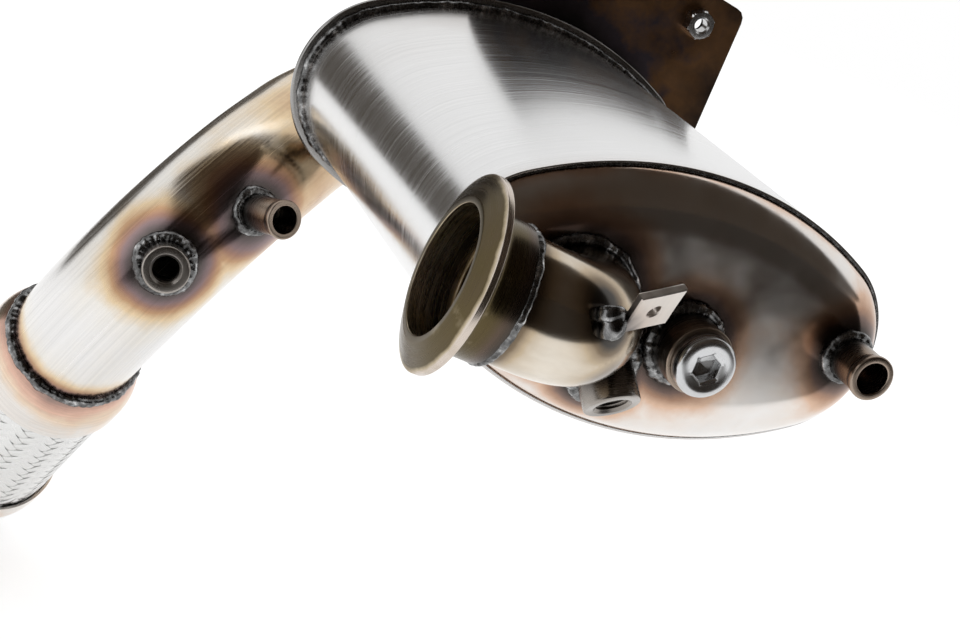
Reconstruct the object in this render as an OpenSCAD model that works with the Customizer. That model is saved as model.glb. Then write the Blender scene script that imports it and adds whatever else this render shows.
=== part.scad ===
// Diesel particulate filter: oval can with a tight inlet elbow, an outlet pipe and a braided coupling.
// Millimetres, +Z up. The origin is the mouth centre of the inlet flange and the can runs along +Y.
// Modules are drawn in the can frame: x across the can, y up, z out of the inlet end.

/* [Can] */
// Outer width of the oval can
can_w = 192; // [180:1:205]
// Outer height of the oval can
can_h = 108; // [102:1:116]
// Radius of the two narrow ends of the oval
end_r = 40; // [36:1:44]
// Length of the shell between its two rims
can_l = 214; // [195:1:240]
// Sheet thickness of the shell
shell_t = 1.5; // [1:0.1:2]

/* [End caps] */
// Height of the pressed shoulder of each cap
cap_h = 14; // [12:0.5:16]
// How far the shoulder runs inward from the rim
cap_run = 20; // [18:0.5:21.5]
// Sheet thickness of both caps
cap_t = 1.8; // [1.4:0.1:2.4]
// Length of the inlet cap's skirt inside the shell
skirt_l = 10; // [6:1:14]
// Play between the skirt and the shell
skirt_gap = 0.1; // [0.05:0.01:0.2]
// How far the outlet cap's lip stands out from the shell
lip_out = 5.4; // [4.5:0.1:7]
// Thickness of the outlet cap's lip
lip_t = 3; // [2.4:0.1:4]

/* [Filter] */
// Thickness of the support mat around the brick
mat_t = 4; // [3:0.5:6]
// Length of the support mat
mat_l = 150; // [120:1:160]
// Length of the filter brick
brick_l = 166; // [162:1:176]
// Distance from the inlet rim to the brick
brick_in = 24; // [16:1:30]
// Pitch of the brick's cemented segments
segment_p = 34; // [28:1:38]
// Width and depth of the segment joints
joint_w = 1; // [0.6:0.1:1.5]

/* [Inlet] */
// Outside diameter of the inlet elbow
elbow_d = 46.5; // [45:0.5:47.5]
// Wall of the inlet elbow
elbow_t = 1.5; // [1.2:0.1:2.2]
// Outside diameter of the inlet flange's neck
neck_d = 51; // [50.5:0.5:52]
// Bore of the inlet flange
inlet_bore = 48; // [48:0.1:48.5]
// Depth of the elbow in the flange's neck
elbow_in = 6; // [4:0.5:8]
// Centre of the elbow on the cap, across the can
inlet_x = -46.5; // [-48:0.5:-45]
// Centre of the elbow on the cap, up the can
inlet_y = -4; // [-6:0.5:-3]
// Centreline radius of the elbow
elbow_r = 26.8; // [26.4:0.1:29]
// Bend of the elbow
elbow_ang = 95.7; // [93:0.1:98]
// Turn of the elbow about the can's axis
inlet_turn = 6.9; // [5:0.1:10]
// Straight length after the bend
elbow_l = 12.1; // [9:0.1:15]
// Length of the inlet flange from its weld to its mouth
flange_l = 22.5; // [22:0.5:28]
// Rim diameter of the inlet flange
rim_d = 72; // [68:0.5:74]
// Width of the flange's rim
rim_t = 2.2; // [1.6:0.1:3]
// Slope of the rim's back
rim_slope = 20; // [10:1:30]
// Height of the male cone in front of the rim
cone_l = 3.8; // [3:0.1:5]
// Wall of the cone at the mouth
mouth_t = 2.4; // [2:0.1:3]

/* [Sensor fittings] */
// Diameter of the oxygen sensor boss
boss_d = 27; // [25:0.5:29]
// Height of the boss above the cap
boss_h = 16; // [13:0.5:20]
// Place of the boss across the can
boss_x = 4; // [2:0.5:8]
// Place of the boss up the can
boss_y = -8; // [-10:0.5:-6]
// Thread diameter of the boss, at its crests
boss_bore = 16.4; // [15:0.1:17.5]
// Collar diameter of the blanking plug
plug_d = 24; // [22:0.5:25]
// Height of the plug's collar
plug_h = 7; // [6:0.5:9]
// Size across flats of the plug's socket
socket_af = 10; // [8:0.5:12]
// Depth of the plug's socket
socket_l = 6; // [4:0.5:8]
// Length of the plug's shank in the boss
shank_l = 12; // [9:0.5:14]
// Diameter of the temperature sensor bungs
bung_d = 21.7; // [20:0.1:23]
// Thread diameter of the temperature bungs, at its crests
bung_bore = 12.4; // [11.5:0.1:13]
// Length of the inlet temperature bung
bung_l = 22; // [20:0.5:24]
// Face centre of the inlet temperature bung
bung_at = [-21, -34, 28];
// Lean of the inlet temperature bung
bung_lean = [40.5, 18.4, 0];
// Outside diameter of the pressure stubs
stub_d = 17; // [15:0.1:18]
// Bore of the pressure stubs
stub_bore = 13; // [11:0.1:14]
// Diameter of the rolled lip at each stub's end
stub_lip = 18.3; // [18.1:0.1:20]
// Height of the inlet pressure stub above the cap
stub_h = 20; // [16:0.5:26]
// Place of the inlet pressure stub across the can
stub_x = 75; // [74:0.5:76]
// Place of the inlet pressure stub up the can
stub_y = 4; // [0:0.5:8]

/* [Cable tab] */
// Side of the square tab
tab_w = 19; // [17:0.5:21]
// Thickness of the tab
tab_t = 3; // [2.5:0.1:3.5]
// Hole in the tab
tab_hole = 5.5; // [4:0.1:6.5]
// Lower left corner of the tab
tab_at = [-49.6, 4.6, 61];
// Lean of the tab
tab_lean = [31, 14.5, 19.4];

/* [Outlet pipe] */
// Outside diameter of the outlet pipe
pipe_d = 63.5; // [62:0.1:64]
// Wall of the outlet pipe
pipe_t = 1.5; // [1.2:0.1:2]
// Place of the outlet pipe on the cap, across the can
port_x = 12; // [10:0.5:14]
// Place of the outlet pipe on the cap, up the can
port_y = 1; // [-0.5:0.5:1.5]
// Turn of the first bend about the can's axis
turn1 = 31; // [29:0.5:33]
// Centreline radius of the first bend
bend1_r = 56; // [54:0.5:60]
// Angle of the first bend
bend1_ang = 135.5; // [132:0.5:138]
// Straight length between the bends
middle_l = 20; // [16:0.5:26]
// Turn from the first bend's plane to the second's
turn2 = -139.5; // [-142:0.5:-137]
// Centreline radius of the second bend
bend2_r = 88; // [84:0.5:92]
// Angle of the second bend
bend2_ang = 95; // [92:0.1:100]
// Straight length after the second bend
end_l = 6; // [5:0.5:12]
// Angle along the second bend to the outlet temperature bung
out_bung_at = 50.4; // [48:0.1:54]
// Turn of the outlet temperature bung around the pipe
out_bung_turn = 167; // [160:1:174]
// Height of the outlet temperature bung above the pipe
out_bung_h = 16; // [13:0.5:20]
// Angle along the second bend to the outlet pressure stub
out_stub_at = 27.1; // [25:0.1:29]
// Turn of the outlet pressure stub around the pipe
out_stub_turn = 148; // [142:1:154]
// Height of the outlet pressure stub above the pipe
out_stub_h = 25; // [20:0.5:30]

/* [Flexible coupling] */
// Length of the coupling between its two welds
flex_l = 150; // [130:1:190]
// Length of each end sleeve
sleeve_l = 28; // [26:1:36]
// Outside diameter of the end sleeves
sleeve_d = 79; // [78:0.5:84]
// Sheet thickness of the sleeves over the braid
sleeve_t = 1.5; // [1.2:0.1:2]
// Depth of each pipe in its sleeve
pipe_in = 12; // [9:0.5:14]
// Strands of the braid around the coupling
braid_n = 16; // [12:1:20]
// Rows of the braid's weave
braid_rows = 12; // [8:1:15]
// Height of the weave
braid_h = 1.8; // [1:0.1:2]
// Wall of the braid below the weave
braid_t = 0.6; // [0.4:0.1:1]
// Folds of the bellows
fold_n = 12; // [6:1:16]
// Wall of the bellows and of the liner
thin_t = 0.5; // [0.4:0.1:0.7]
// Length of the tail pipe beyond the rear sleeve
tail_l = 38; // [25:1:60]

/* [Bracket] */
// Left edge of the bracket
bracket_x0 = -33; // [-45:1:-20]
// Right edge of the bracket
bracket_x1 = 105; // [103:1:110]
// Height of the bracket's upper right corner
bracket_y = 91; // [86:1:100]
// Height of the bracket's lower right corner
bracket_y0 = 22; // [12:1:30]
// Slope of the bracket's upper edge
bracket_slope = 10; // [0:1:15]
// Corner radius of the bracket
bracket_r = 5; // [3:0.5:8]
// Sheet thickness of the bracket
bracket_t = 3; // [2:0.1:4]
// Weld nut size across flats
nut_af = 13; // [12:0.5:15]
// Height of the weld nut
nut_h = 6.5; // [5:0.5:9]
// Thread diameter of the weld nut, at its crests
nut_bore = 6.65; // [5.5:0.05:7]
// Hole of the bracket behind the nut
nut_hole = 8.4; // [7.5:0.1:9]
// Place of the nut from the bracket's right edge
nut_in = 23.5; // [17:0.5:30]
// Place of the nut below the bracket's corner height
nut_down = 12; // [11:0.5:18]

/* [Welds] */
// Fillet of the thin inlet rim weld
rim_weld = 1.4; // [1:0.1:1.5]
// Fillet of the outlet lip weld
lip_weld = 3.2; // [2:0.1:4]
// Fillet of the pipe welds
pipe_weld = 2; // [1.8:0.1:2.6]
// Fillet of the small fittings' welds
fitting_weld = 2.4; // [1.8:0.1:3]
// Fillet of the temperature bungs' welds
bung_weld = 4; // [3:0.1:4.5]

/* [Hidden] */
$fn = 128;
end_x = can_w / 2 - end_r;
end_rise = can_h / 2 - end_r;
side_off = (end_x * end_x - end_rise * end_rise) / (2 * end_rise);
side_r = can_h / 2 + side_off;
reach = can_w;
span = 2 * can_l;
cap_arc = (cap_run * cap_run + cap_h * cap_h) / (2 * cap_h);
brick_inset = shell_t + mat_t;
inlet_r = elbow_d / 2;
elbow_bore = inlet_r - elbow_t;
neck_r = neck_d / 2;
bore_r = inlet_bore / 2;
boss_r = boss_d / 2;
bung_r = bung_d / 2;
stub_r = stub_d / 2;
lip_h = 3;
pipe_r = pipe_d / 2;
pipe_bore = pipe_r - pipe_t;
outlet_z = can_l + lip_t;
sleeve_r = sleeve_d / 2;
cone_at = pipe_in + 1;
seat_at = pipe_in + 4;
braid_top = sleeve_r - sleeve_t - 0.1;
braid_mid = braid_top - braid_h / 2;
braid_in = braid_top - braid_h - braid_t;
braid_l = flex_l - 2 * seat_at;
around = 4 * braid_n;
along = 4 * braid_rows;
fold_top = braid_in - 0.3;
fold_root = pipe_r - 0.6;
fold_p = braid_l / fold_n;
liner_r = fold_root - thin_t - 0.4;
bracket_z = outlet_z + bracket_t;
nut_x = bracket_x1 - nut_in;
nut_y = bracket_y - nut_down;
eps = 0.5;
seam_h = 0.3;
seam_l = 0.5;
port_l = cap_t + pipe_weld + seam_l;
elbow_s = port_l;
bung_axis = [
  sin(bung_lean[1]) * cos(bung_lean[0]), -sin(bung_lean[0]), cos(bung_lean[1]) * cos(bung_lean[0])
];
bung_foot = bung_at - bung_axis * (bung_at[2] - cap_h) / bung_axis[2];
bung_foot_r = bung_r / bung_axis[2] + 1;
elbow_side = [-cos(inlet_turn), sin(inlet_turn), 0];
elbow_end = [inlet_x, inlet_y, cap_h - cap_t + elbow_s + elbow_r * sin(elbow_ang)]
  + elbow_r * (1 - cos(elbow_ang)) * elbow_side;
inlet_dir = sin(elbow_ang) * elbow_side + [0, 0, cos(elbow_ang)];
mouth = elbow_end + (elbow_l + flange_l) * inlet_dir;

// Moves the can frame to the part frame
module place() {
  rotate([90, 0, 0]) translate(-mouth) children();
}

// Region of the oval that its two long sides bound
module waist() {
  slant = end_x + reach * end_x / side_off;
  polygon([[end_x, 0], [slant, reach], [-slant, reach], [-end_x, 0], [-slant, -reach], [slant, -reach]]);
}

// Upper half of that region
module half_waist() {
  slant = end_x + reach * end_x / side_off;
  polygon([[end_x, 0], [slant, reach], [-slant, reach], [-end_x, 0]]);
}

// Four-arc oval, drawn in from the shell's outside
module oval(inset) {
  intersection() {
    translate([0, -side_off]) circle(r = side_r - inset);
    translate([0, side_off]) circle(r = side_r - inset);
    waist();
  }
  for (side = [-1, 1])
    translate([side * end_x, 0]) circle(r = end_r - inset);
}

// Carries a profile around the oval: x out from the shell, y along the can
module sweep_oval() {
  for (side = [-1, 1])
    difference() {
      translate([side * end_x, 0, 0]) rotate_extrude() translate([end_r, 0]) children();
      translate([0, 0, -span]) linear_extrude(2 * span) waist();
    }
  for (side = [0, 1])
    mirror([0, side, 0])
      intersection() {
        translate([0, -side_off, 0]) rotate_extrude() translate([side_r, 0]) children();
        translate([0, 0, -span]) linear_extrude(2 * span) half_waist();
      }
}

// Solid section of a cap's shoulder
module shoulder_solid(inset) {
  intersection() {
    translate([-inset - cap_run, cap_h - cap_arc]) circle(r = cap_arc);
    translate([-inset - cap_run, 0]) square([cap_run, cap_h]);
  }
}

// Sheet section of a cap's shoulder
module shoulder(inset) {
  difference() {
    shoulder_solid(inset);
    translate([-inset - cap_run, cap_h - cap_arc]) circle(r = cap_arc - cap_t);
  }
}

// Sheet of a cap with its flat face
module cap_sheet(inset) {
  sweep_oval() shoulder(inset);
  translate([0, 0, cap_h - cap_t]) linear_extrude(cap_t) oval(inset + cap_run);
}

// Frame of the outlet cap, z pointing out of the outlet end
module at_outlet() {
  translate([0, 0, -outlet_z]) rotate([180, 0, 0]) children();
}

// Tube bend that starts along z and turns toward x
module bend(radius, ang, r, bore) {
  translate([radius, 0, 0]) rotate([90, 0, 180])
    rotate_extrude(angle = ang) translate([radius, 0])
      difference() {
        circle(r = r);
        circle(r = bore);
      }
}

// Frame at the end of such a bend
module after_bend(radius, ang) {
  translate([radius * (1 - cos(ang)), 0, radius * sin(ang)]) rotate([0, ang, 0]) children();
}

// Frame of the elbow on the inlet cap
module at_elbow() {
  translate([inlet_x, inlet_y, cap_h - cap_t]) rotate([0, 0, 180 - inlet_turn]) children();
}

module at_elbow_bend() {
  at_elbow() translate([0, 0, elbow_s]) children();
}

// Frame at the weld between elbow and flange
module at_flange() {
  at_elbow_bend() after_bend(elbow_r, elbow_ang) translate([0, 0, elbow_l]) children();
}

// Low seam where a bend runs into a straight tube
module seam(r, bore) {
  translate([0, 0, -seam_l]) tube(r + seam_h, bore - seam_h, 2 * seam_l);
}

// Straight tube along z
module tube(r, bore, length) {
  linear_extrude(length)
    difference() {
      circle(r = r);
      circle(r = bore);
    }
}

// Frame of the inlet temperature bung, z out of its face
module at_bung() {
  translate(bung_at) rotate(bung_lean) children();
}

// Room that the bung takes in what it passes through
module bung_hole() {
  translate([0, 0, -2 * bung_l]) cylinder(r = bung_r, h = 2 * bung_l);
}

// Outlet pipe's start, bends and end
module at_port() {
  at_outlet() translate([port_x, -port_y, cap_h - cap_t]) rotate([0, 0, 180 - turn1]) children();
}

module at_bend1() {
  at_port() translate([0, 0, port_l]) children();
}

module at_bend2() {
  at_bend1() after_bend(bend1_r, bend1_ang) translate([0, 0, middle_l]) rotate([0, 0, turn2]) children();
}

module at_flex() {
  at_bend2() after_bend(bend2_r, bend2_ang) translate([0, 0, end_l]) children();
}

// Frame on the second bend, z out of the pipe
module on_bend2(ang, turn) {
  at_bend2() after_bend(bend2_r, ang) rotate([0, 0, turn]) rotate([0, 90, 0]) children();
}

// Solid second bend of the outlet pipe, to trim what is welded on it
module bend2_rod() {
  at_bend2() translate([bend2_r, 0, 0]) rotate([90, 0, 180])
    rotate_extrude(angle = bend2_ang, $fn = 240) translate([bend2_r, 0]) circle(r = pipe_r, $fn = 240);
}

// Fillet of weld metal around a tube that stands on a flat face
module bead(radius, size) {
  rotate_extrude() translate([radius, 0]) intersection() {
    circle(r = size);
    square(size);
  }
}

// Cone of weld metal around a fitting on the outlet pipe
module pipe_cone(radius, size) {
  foot = pipe_r - sqrt(pipe_r * pipe_r - (radius + size) * (radius + size)) + joint_w / 2;
  difference() {
    translate([0, 0, pipe_r - foot]) cylinder(r1 = radius + size, r2 = radius + size / 4, h = foot + size);
    translate([0, 0, pipe_r / 2]) cylinder(r = radius, h = pipe_r);
  }
}

// Pressure stub with a rolled lip, z out of its end
module stub(length) {
  difference() {
    union() {
      translate([0, 0, -length]) cylinder(r = stub_r, h = length);
      translate([0, 0, -lip_h]) cylinder(d = stub_lip, h = lip_h);
    }
    translate([0, 0, -length - eps]) cylinder(d = stub_bore, h = length + 2 * eps);
  }
}

// Temperature bung, z out of its face
module bung(length) {
  difference() {
    translate([0, 0, -length]) cylinder(r = bung_r, h = length);
    translate([0, 0, -length - eps]) cylinder(d = bung_bore, h = length + 2 * eps);
  }
}

module canister_shell() {
  color([0.86, 0.86, 0.85]) place()
    translate([0, 0, -can_l]) linear_extrude(can_l)
      difference() {
        oval(0);
        oval(shell_t);
      }
}

module inlet_cap() {
  color([0.35, 0.28, 0.22]) place()
    difference() {
      union() {
        cap_sheet(shell_t);
        translate([0, 0, -skirt_l]) linear_extrude(skirt_l + 2 * skirt_gap)
          difference() {
            oval(shell_t + skirt_gap);
            oval(shell_t + cap_t);
          }
      }
      translate([inlet_x, inlet_y, 0]) cylinder(r = inlet_r, h = cap_h + eps);
      at_bung() bung_hole();
      translate([boss_x, boss_y, 0]) cylinder(d = boss_bore, h = cap_h + eps);
      translate([stub_x, stub_y, 0]) cylinder(r = stub_r, h = cap_h + eps);
    }
}

module inlet_cap_weld() {
  color([0.3, 0.29, 0.28]) place()
    sweep_oval() translate([-shell_t, 0]) intersection() {
      circle(r = rim_weld);
      square(rim_weld);
    }
}

module filter_brick() {
  rows = floor(can_w / 2 / segment_p);
  color([0.55, 0.54, 0.5]) place()
    translate([0, 0, -brick_in - brick_l])
      difference() {
        linear_extrude(brick_l) oval(brick_inset);
        for (z = [0, brick_l], i = [-rows : rows]) {
          translate([i * segment_p, 0, z]) cube([joint_w, can_h, 2 * joint_w], center = true);
          translate([0, i * segment_p, z]) cube([can_w, joint_w, 2 * joint_w], center = true);
        }
      }
}

module filter_mat() {
  color([0.88, 0.86, 0.8]) place()
    translate([0, 0, -brick_in - (brick_l + mat_l) / 2]) linear_extrude(mat_l)
      difference() {
        oval(shell_t);
        oval(brick_inset);
      }
}

module inlet_elbow() {
  color([0.42, 0.36, 0.26]) place()
    difference() {
      union() {
        at_elbow() tube(inlet_r, elbow_bore, elbow_s);
        at_elbow_bend() bend(elbow_r, elbow_ang, inlet_r, elbow_bore);
        at_flange() translate([0, 0, -elbow_l]) seam(inlet_r, elbow_bore);
        at_flange() translate([0, 0, seam_l / 2 - elbow_l])
          tube(inlet_r, elbow_bore, elbow_l + elbow_in - seam_l / 2);
      }
      at_bung() bung_hole();
    }
}

module inlet_elbow_weld() {
  color([0.25, 0.25, 0.25]) place()
    difference() {
      translate([inlet_x, inlet_y, cap_h]) bead(inlet_r, pipe_weld);
      translate(bung_foot) cylinder(r = bung_foot_r + bung_weld / 2, h = can_h, center = true);
    }
}

module inlet_flange() {
  rim_r = rim_d / 2;
  front = flange_l - cone_l;
  back = front - rim_t;
  neck = back - (rim_r - neck_r) * tan(rim_slope);
  color([0.5, 0.43, 0.36]) place() at_flange()
    rotate_extrude()
      polygon([
        [inlet_r, 0], [neck_r, 0], [neck_r, neck], [rim_r, back], [rim_r, front],
        [bore_r + mouth_t, flange_l], [bore_r, flange_l], [bore_r, elbow_in], [inlet_r, elbow_in]
      ]);
}

module inlet_flange_weld() {
  color([0.3, 0.29, 0.28]) place() at_flange()
    rotate_extrude() translate([inlet_r, 0]) intersection() {
      circle(r = pipe_weld);
      translate([0, -pipe_weld]) square(pipe_weld);
    }
}

module sensor_boss() {
  color([0.4, 0.36, 0.32]) place() translate([boss_x, boss_y, cap_h])
    difference() {
      cylinder(r = boss_r, h = boss_h);
      translate([0, 0, -eps]) cylinder(d = boss_bore, h = boss_h + 2 * eps);
    }
}

module sensor_boss_weld() {
  color([0.3, 0.29, 0.28]) place() translate([boss_x, boss_y, cap_h]) bead(boss_r, fitting_weld);
}

module blanking_plug() {
  color([0.75, 0.77, 0.78]) place() translate([boss_x, boss_y, cap_h + boss_h])
    difference() {
      union() {
        cylinder(d = plug_d, h = plug_h);
        translate([0, 0, -shank_l]) cylinder(d = boss_bore, h = shank_l);
      }
      translate([0, 0, plug_h - socket_l]) cylinder(d = socket_af / cos(30), h = socket_l + eps, $fn = 6);
    }
}

module inlet_temperature_bung() {
  color([0.45, 0.42, 0.38]) place() at_bung() bung(bung_l);
}

module inlet_temperature_bung_weld() {
  color([0.25, 0.25, 0.25]) place()
    difference() {
      translate(bung_foot)
        cylinder(r1 = bung_foot_r + bung_weld / 2, r2 = bung_foot_r - bung_weld / 2, h = bung_weld);
      at_bung() bung_hole();
      translate([inlet_x, inlet_y, 0]) cylinder(r = inlet_r, h = can_l);
      translate([boss_x, boss_y, 0]) cylinder(r = boss_r + fitting_weld, h = can_l);
    }
}

module inlet_pressure_stub() {
  color([0.5, 0.46, 0.42]) place() translate([stub_x, stub_y, cap_h + stub_h]) stub(stub_h + cap_t);
}

module inlet_pressure_stub_weld() {
  color([0.3, 0.29, 0.28]) place() translate([stub_x, stub_y, cap_h]) bead(stub_r, fitting_weld);
}

// Solid bend of the elbow, to trim what is welded on it
module elbow_rod() {
  at_elbow_bend() translate([elbow_r, 0, 0]) rotate([90, 0, 180])
    rotate_extrude(angle = elbow_ang) translate([elbow_r, 0]) circle(r = inlet_r);
}

module cable_tab() {
  color([0.8, 0.76, 0.72]) place()
    difference() {
      translate(tab_at) rotate(tab_lean) translate([0, 0, -tab_t]) cube([tab_w, tab_w, tab_t]);
      elbow_rod();
      translate(tab_at) rotate(tab_lean) translate([tab_w / 2, tab_w / 2, -tab_t - eps])
        cylinder(d = tab_hole, h = tab_t + 2 * eps);
    }
}

module cable_tab_weld() {
  color([0.3, 0.29, 0.28]) place()
    difference() {
      translate(tab_at) rotate(tab_lean) translate([0, tab_w / 3, -tab_t]) sphere(r = tab_w / 3);
      translate(tab_at) rotate(tab_lean) translate([0, -tab_w, -tab_t]) cube([tab_w, 3 * tab_w, tab_w]);
      elbow_rod();
    }
}

module outlet_cap() {
  color([0.6, 0.58, 0.56]) place()
    difference() {
      union() {
        at_outlet() cap_sheet(0);
        translate([0, 0, -outlet_z]) linear_extrude(lip_t)
          difference() {
            oval(lip_t / 2 - lip_out);
            oval(shell_t);
          }
        translate([0, 0, -outlet_z]) sweep_oval()
          translate([lip_out - lip_t / 2, lip_t / 2]) circle(d = lip_t);
      }
      at_port() translate([0, 0, -eps]) cylinder(r = pipe_r, h = cap_t + 2 * eps);
    }
}

module outlet_cap_weld() {
  color([0.3, 0.3, 0.3]) place() translate([0, 0, -can_l])
    sweep_oval() intersection() {
      circle(r = lip_weld);
      square(lip_weld);
    }
}

module outlet_pipe() {
  color([0.78, 0.75, 0.7]) place() {
    at_port() tube(pipe_r, pipe_bore, port_l - seam_l / 2);
    at_bend1() seam(pipe_r, pipe_bore);
    at_bend1() bend(bend1_r, bend1_ang, pipe_r, pipe_bore);
    at_bend1() after_bend(bend1_r, bend1_ang) seam(pipe_r, pipe_bore);
    at_bend2() translate([0, 0, seam_l / 2 - middle_l]) tube(pipe_r, pipe_bore, middle_l - seam_l);
    at_bend2() seam(pipe_r, pipe_bore);
    difference() {
      at_bend2() bend(bend2_r, bend2_ang, pipe_r, pipe_bore);
      on_bend2(out_bung_at, out_bung_turn) cylinder(r = bung_r, h = 2 * pipe_r);
      on_bend2(out_stub_at, out_stub_turn) cylinder(r = stub_r, h = 2 * pipe_r);
    }
    at_flex() translate([0, 0, -end_l]) seam(pipe_r, pipe_bore);
    at_flex() translate([0, 0, seam_l / 2 - end_l]) tube(pipe_r, pipe_bore, end_l + pipe_in - seam_l / 2);
  }
}

module outlet_pipe_weld() {
  color([0.3, 0.29, 0.28]) place() at_port() translate([0, 0, cap_t]) bead(pipe_r, pipe_weld);
}

module outlet_temperature_bung() {
  color([0.6, 0.58, 0.55]) place() on_bend2(out_bung_at, out_bung_turn)
    translate([0, 0, pipe_r + out_bung_h]) bung(out_bung_h + 2 * pipe_t);
}

module outlet_temperature_bung_weld() {
  color([0.3, 0.29, 0.28]) place()
    difference() {
      on_bend2(out_bung_at, out_bung_turn) pipe_cone(bung_r, bung_weld);
      bend2_rod();
    }
}

module outlet_pressure_stub() {
  color([0.65, 0.62, 0.58]) place() on_bend2(out_stub_at, out_stub_turn)
    translate([0, 0, pipe_r + out_stub_h]) stub(out_stub_h + 2 * pipe_t);
}

module outlet_pressure_stub_weld() {
  color([0.3, 0.29, 0.28]) place()
    difference() {
      on_bend2(out_stub_at, out_stub_turn) pipe_cone(stub_r, fitting_weld);
      bend2_rod();
    }
}

// Outline of the bracket with two round upper corners
module bracket_outline() {
  rise = tan(bracket_slope);
  drop = bracket_r * rise - bracket_r / cos(bracket_slope);
  run = bracket_x1 - bracket_x0 - 2 * bracket_r;
  right = [bracket_x1 - bracket_r, bracket_y + drop];
  left = right + run * [-1, rise];
  top = bracket_r * [sin(bracket_slope), cos(bracket_slope)];
  polygon([
    [bracket_x0, bracket_y0], [bracket_x1, bracket_y0], [bracket_x1, right[1]],
    right + top, left + top, [bracket_x0, left[1]]
  ]);
  translate(right) circle(r = bracket_r);
  translate(left) circle(r = bracket_r);
}

module mounting_bracket() {
  color([0.25, 0.22, 0.22]) place()
    translate([0, 0, -bracket_z]) linear_extrude(bracket_t)
      difference() {
        bracket_outline();
        oval(0);
        translate([nut_x, nut_y]) circle(d = nut_hole);
      }
}

module mounting_bracket_weld() {
  shoulder_in = cap_run - sqrt(pow(cap_arc, 2) - pow(cap_arc - cap_h + bracket_t, 2));
  color([0.3, 0.29, 0.28]) place()
    translate([0, 0, -bracket_z - lip_weld]) linear_extrude(lip_weld)
      intersection() {
        difference() {
          oval(-lip_weld);
          oval(shoulder_in);
        }
        translate([bracket_x0 + bracket_r, 0]) square([can_w / 2, can_h]);
      }
}

module bracket_nut() {
  color([0.7, 0.68, 0.64]) place() translate([nut_x, nut_y, -outlet_z])
    difference() {
      cylinder(d = nut_af / cos(30), h = nut_h, $fn = 6);
      translate([0, 0, -eps]) cylinder(d = nut_bore, h = nut_h + 2 * eps);
    }
}

// Fillet between a pipe and its sleeve
module sleeve_bead() {
  rotate_extrude() translate([pipe_r, 0]) intersection() {
    circle(r = lip_weld);
    translate([0, -lip_weld]) square(lip_weld);
  }
}

// Formed end sleeve that holds the braid, z into the coupling
module sleeve() {
  rotate_extrude()
    polygon([
      [pipe_r, 0], [pipe_r + 1.2 * sleeve_t, 0], [sleeve_r, cone_at], [sleeve_r, sleeve_l],
      [sleeve_r - sleeve_t, sleeve_l], [sleeve_r - sleeve_t, seat_at], [pipe_r, seat_at]
    ]);
}

// Frame at the rear weld, z back into the coupling
module at_tail() {
  at_flex() translate([0, 0, flex_l]) rotate([180, 0, 0]) children();
}

module flex_front_weld() {
  color([0.35, 0.34, 0.33]) place() at_flex() sleeve_bead();
}

module flex_front_sleeve() {
  color([0.75, 0.66, 0.58]) place() at_flex() sleeve();
}

// Height of the weave at one point of the braid
function weave(j, k) = braid_mid + braid_h / 2 * max(cos(90 * (j + k)), cos(90 * (j - k)));

module flex_braid() {
  woven = [for (k = [0 : along], j = [0 : around - 1])
    let (r = weave(j, k), a = 360 * j / around) [r * cos(a), r * sin(a), braid_l * k / along]];
  inside = [for (z = [0, braid_l], j = [0 : around - 1])
    let (a = 360 * j / around) [braid_in * cos(a), braid_in * sin(a), z]];
  low = len(woven);
  high = low + around;
  wall = [for (k = [0 : along - 1], j = [0 : around - 1], half = [0, 1])
    let (n = (j + 1) % around, p = k * around, q = p + around)
      half == 0 ? [p + j, q + j, q + n] : [p + j, q + n, p + n]];
  rest = [for (j = [0 : around - 1], part = [0 : 5])
    let (n = (j + 1) % around, q = along * around)
      part == 0 ? [low + j, high + n, high + j] :
      part == 1 ? [low + j, low + n, high + n] :
      part == 2 ? [j, n, low + n] :
      part == 3 ? [j, low + n, low + j] :
      part == 4 ? [q + j, high + n, q + n] : [q + j, high + j, high + n]];
  color([0.72, 0.72, 0.7]) place() at_flex() translate([0, 0, seat_at])
    polyhedron(points = concat(woven, inside), faces = concat(wall, rest));
}

// Line of the bellows, from cuff to cuff
function fold_line(inward) = concat(
  [[pipe_r - inward, pipe_in]], [[pipe_r - inward, seat_at]],
  [for (i = [0 : fold_n - 1], s = [0 : 3])
    [(s == 1 || s == 2 ? fold_top : fold_root) - inward, seat_at + fold_p * (i + [0.1, 0.3, 0.7, 0.9][s])]],
  [[pipe_r - inward, flex_l - seat_at]], [[pipe_r - inward, flex_l - pipe_in]]
);

module flex_bellows() {
  outer = fold_line(0);
  inner = fold_line(thin_t);
  color([0.7, 0.7, 0.7]) place() at_flex()
    rotate_extrude()
      polygon(concat(outer, [for (i = [len(inner) - 1 : -1 : 0]) inner[i]]));
}

module flex_liner() {
  color([0.6, 0.6, 0.6]) place() at_flex() translate([0, 0, pipe_in])
    difference() {
      cylinder(r = liner_r, h = flex_l - 2 * pipe_in);
      translate([0, 0, -eps]) cylinder(r = liner_r - thin_t, h = flex_l);
    }
}

module flex_rear_sleeve() {
  color([0.75, 0.66, 0.58]) place() at_tail() sleeve();
}

module flex_rear_weld() {
  color([0.35, 0.34, 0.33]) place() at_tail() sleeve_bead();
}

module tail_pipe() {
  color([0.78, 0.75, 0.7]) place() at_flex() translate([0, 0, flex_l - pipe_in])
    difference() {
      cylinder(r = pipe_r, h = pipe_in + tail_l);
      translate([0, 0, -eps]) cylinder(r = pipe_bore, h = pipe_in + tail_l + 2 * eps);
    }
}

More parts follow.
